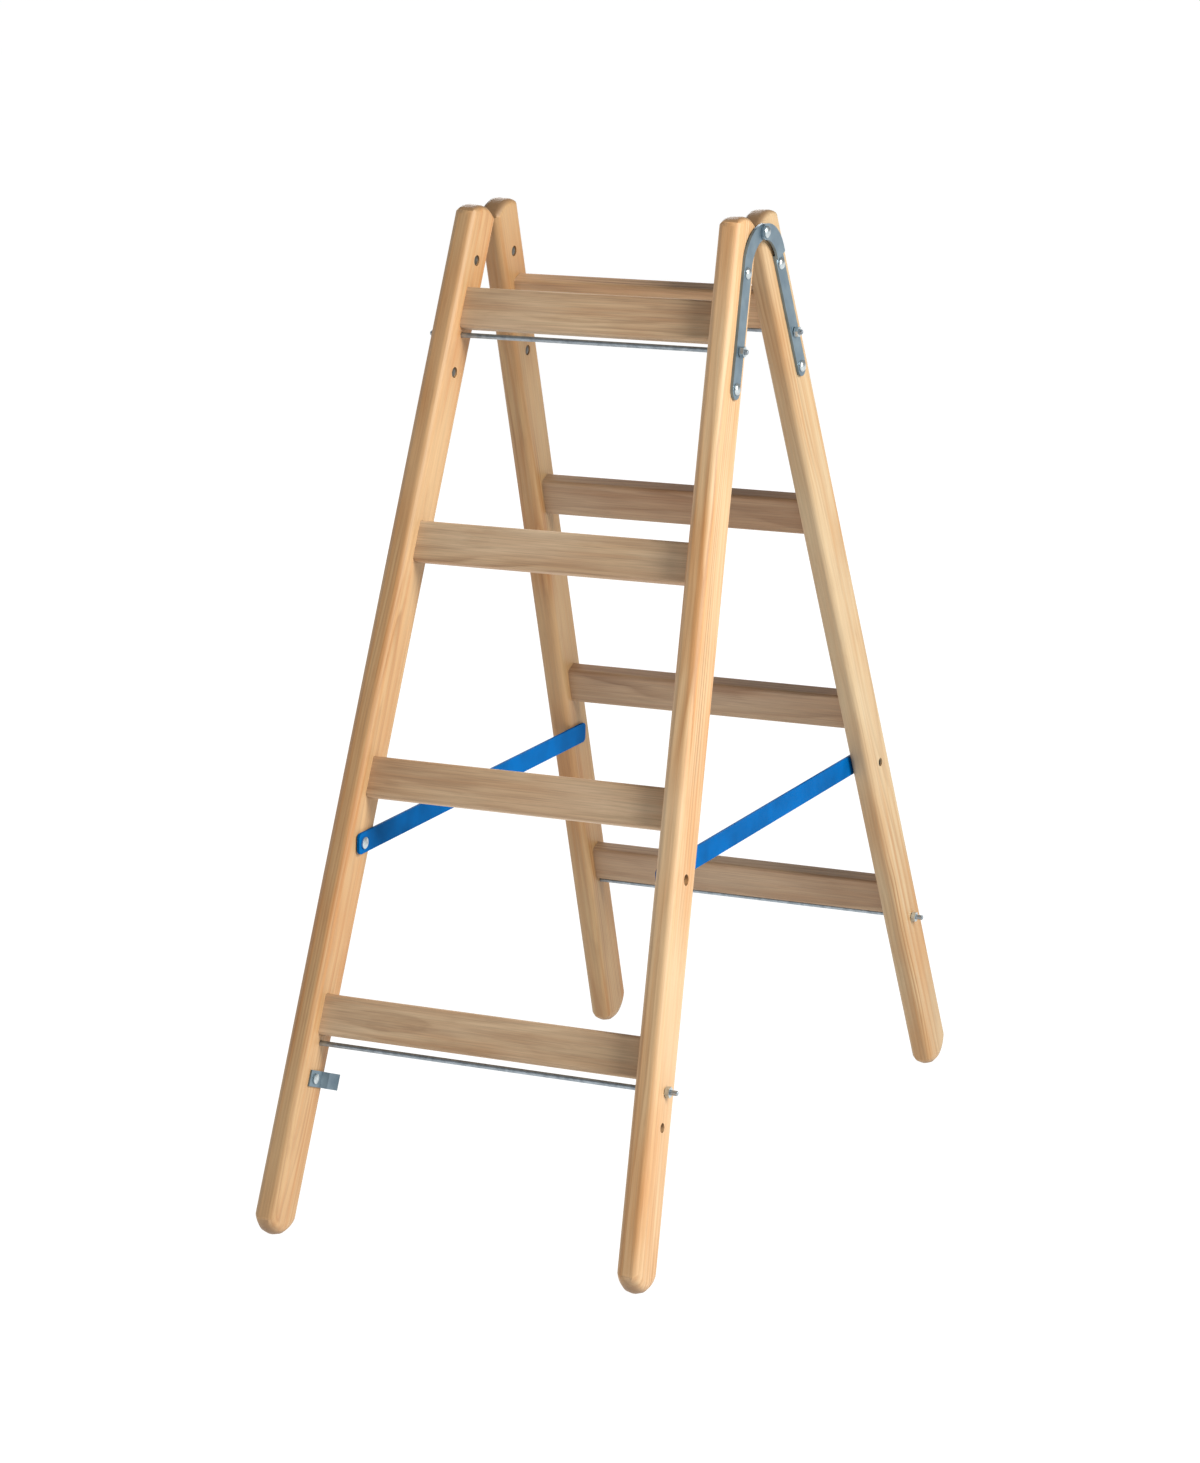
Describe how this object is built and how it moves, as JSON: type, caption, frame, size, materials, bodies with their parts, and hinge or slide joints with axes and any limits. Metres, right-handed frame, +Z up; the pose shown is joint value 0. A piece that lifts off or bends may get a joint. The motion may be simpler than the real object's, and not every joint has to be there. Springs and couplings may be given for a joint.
{
  "type": "double-sided rung stepladder",
  "caption": "Low double-sided timber stepladder: two rung frames hinged at the top by strap hinges and held open by flat steel stays",
  "frame": {"origin": "on the floor, under the middle of the open ladder", "axes": "+Z up, +X to the right seen from the front frame, +Y from the front frame to the rear frame"},
  "size_m": [0.4914, 0.9652, 1.1456],
  "materials": {
    "pine": "clear-oiled softwood, fine long grain, eased edges",
    "rung_wood": "darker, greyer rough-sanded hardwood",
    "zinc_steel": "dull blue-grey zinc plate",
    "bright_steel": "bright plated fasteners and rods",
    "blue_paint": "satin blue enamel"
  },
  "bodies": {
    "front_frame": {"front_stile_left": "pine", "front_stile_right": "pine", "front_rung_1": "rung_wood", "front_rung_2": "rung_wood", "front_rung_3": "rung_wood", "front_rung_4": "rung_wood", "front_tie_rod_bottom": "bright_steel", "front_rod_nut_bottom_left": "bright_steel", "front_rod_nut_bottom_right": "bright_steel", "front_tie_rod_top": "bright_steel", "front_rod_nut_top_left": "bright_steel", "front_rod_nut_top_right": "bright_steel", "front_hinge_leaf_left": "zinc_steel", "front_hinge_bolt_upper_left": "bright_steel", "front_hinge_bolt_lower_left": "bright_steel", "front_hinge_leaf_right": "zinc_steel", "front_hinge_bolt_upper_right": "bright_steel", "front_hinge_bolt_lower_right": "bright_steel", "stay_pivot_bolt_left": "bright_steel", "stay_pivot_nut_left": "bright_steel", "hinge_rivet_left": "bright_steel", "stay_clip_left": "zinc_steel", "clip_bolt_left": "bright_steel", "clip_nut_left": "bright_steel", "stay_pivot_bolt_right": "bright_steel", "stay_pivot_nut_right": "bright_steel", "hinge_rivet_right": "bright_steel", "stay_clip_right": "zinc_steel", "clip_bolt_right": "bright_steel", "clip_nut_right": "bright_steel"},
    "rear_frame": {"rear_stile_left": "pine", "rear_stile_right": "pine", "rear_rung_1": "rung_wood", "rear_rung_2": "rung_wood", "rear_rung_3": "rung_wood", "rear_rung_4": "rung_wood", "rear_tie_rod_bottom": "bright_steel", "rear_rod_nut_bottom_left": "bright_steel", "rear_rod_nut_bottom_right": "bright_steel", "rear_tie_rod_top": "bright_steel", "rear_rod_nut_top_left": "bright_steel", "rear_rod_nut_top_right": "bright_steel", "rear_hinge_leaf_left": "zinc_steel", "rear_hinge_bolt_upper_left": "bright_steel", "rear_hinge_bolt_lower_left": "bright_steel", "rear_hinge_leaf_right": "zinc_steel", "rear_hinge_bolt_upper_right": "bright_steel", "rear_hinge_bolt_lower_right": "bright_steel", "stay_socket_left": "bright_steel", "stay_socket_right": "bright_steel"},
    "stay_left": {"stay_left": "blue_paint"},
    "stay_right": {"stay_right": "blue_paint"}
  },
  "joints": [
    {"name": "fold", "type": "hinge", "parent": "front_frame", "child": "rear_frame", "pos_m": [0, 0, 1.125], "axis": [-1, 0, 0], "range_deg": [0, 41.8]},
    {"name": "stay_swing_left", "type": "hinge", "parent": "front_frame", "child": "stay_left", "pos_m": [-0.19277, -0.29712, 0.43243], "axis": [-0.9995, 0, 0.03], "range_deg": [0, 41.8]},
    {"name": "stay_swing_right", "type": "hinge", "parent": "front_frame", "child": "stay_right", "pos_m": [0.19277, -0.29712, 0.43243], "axis": [-0.9995, 0, -0.03], "range_deg": [0, 41.8]}
  ],
  "couplings": [
    {"joint": "stay_swing_left", "follows": "fold", "ratio": 1},
    {"joint": "stay_swing_right", "follows": "fold", "ratio": 1}
  ]
}
